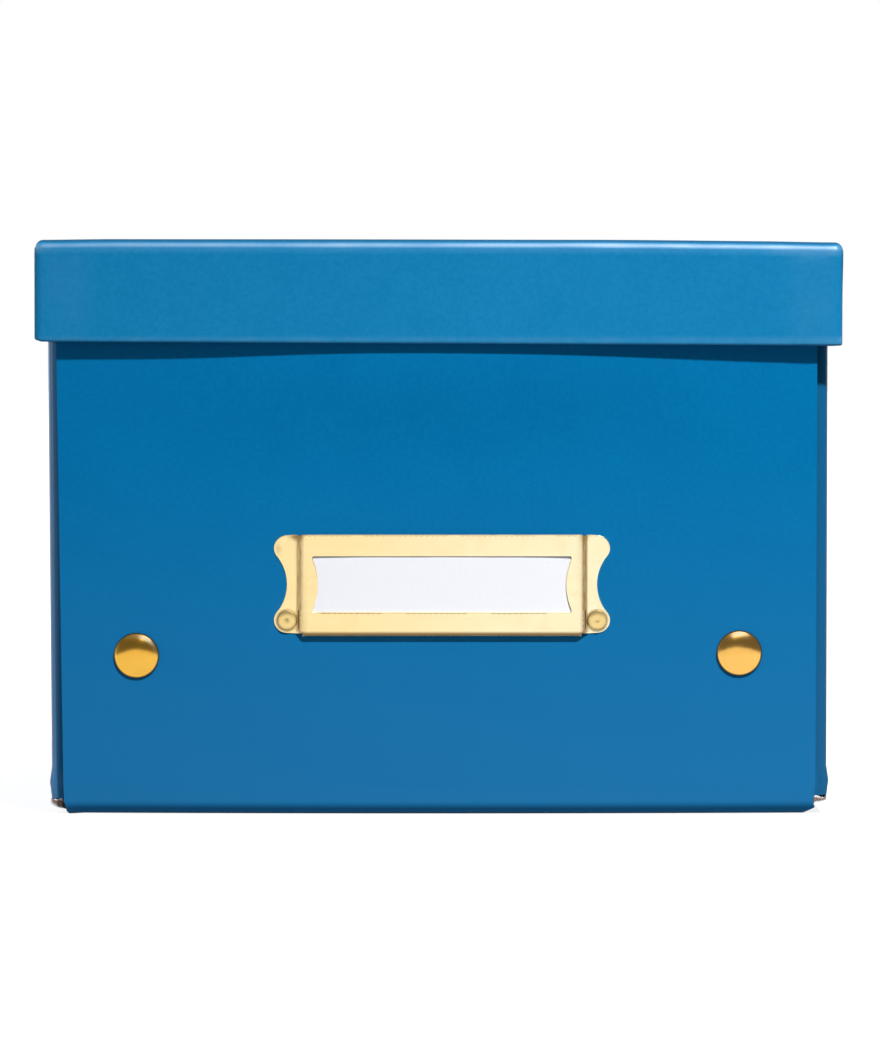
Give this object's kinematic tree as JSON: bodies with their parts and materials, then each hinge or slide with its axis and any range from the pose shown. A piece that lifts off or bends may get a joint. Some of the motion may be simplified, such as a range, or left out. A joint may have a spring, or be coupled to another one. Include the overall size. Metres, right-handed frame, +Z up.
{
  "type": "storage box",
  "caption": "Flat-delivered board storage box with folded walls held by brass press studs, a lift-off lid with deep skirts, and a riveted brass label holder with a blank card.",
  "frame": {"origin": "on the floor, under the middle of the closed box", "axes": "+Z up; -Y is the front with the label holder; +X is to the right of someone facing the front"},
  "size_m": [0.226, 0.288, 0.1609],
  "materials": {
    "blue_laminated_board": "satin",
    "blue_cover_paper": "satin",
    "grey_board": "matte",
    "white_lining_paper": "matte",
    "stay_paper": "matte",
    "card_stock": "matte",
    "brass": "gloss",
    "spring_steel": "satin"
  },
  "bodies": {
    "box": {"body_blank": "blue_laminated_board", "front_stud_caps": "brass", "front_stud_sockets": "brass", "front_stud_ring_springs": "spring_steel", "front_male_studs": "brass", "front_stud_posts": "brass", "back_stud_caps": "brass", "back_stud_sockets": "brass", "back_stud_ring_springs": "spring_steel", "back_male_studs": "brass", "back_stud_posts": "brass", "label_holder": "brass", "label_rivets": "brass", "label_rivet_washers": "brass"},
    "lid": {"lid_board": "grey_board", "lid_corner_stays": "stay_paper", "lid_cover": "blue_cover_paper", "lid_lining": "white_lining_paper"},
    "label_card": {"label_card": "card_stock"}
  },
  "joints": [
    {"name": "lid_lift", "type": "slide", "parent": "box", "child": "lid", "axis": [0, 0, 1], "range_m": [0, 0.06]},
    {"name": "label_card_slide", "type": "slide", "parent": "box", "child": "label_card", "axis": [0, 0, 1], "range_m": [0, 0.0285]}
  ]
}
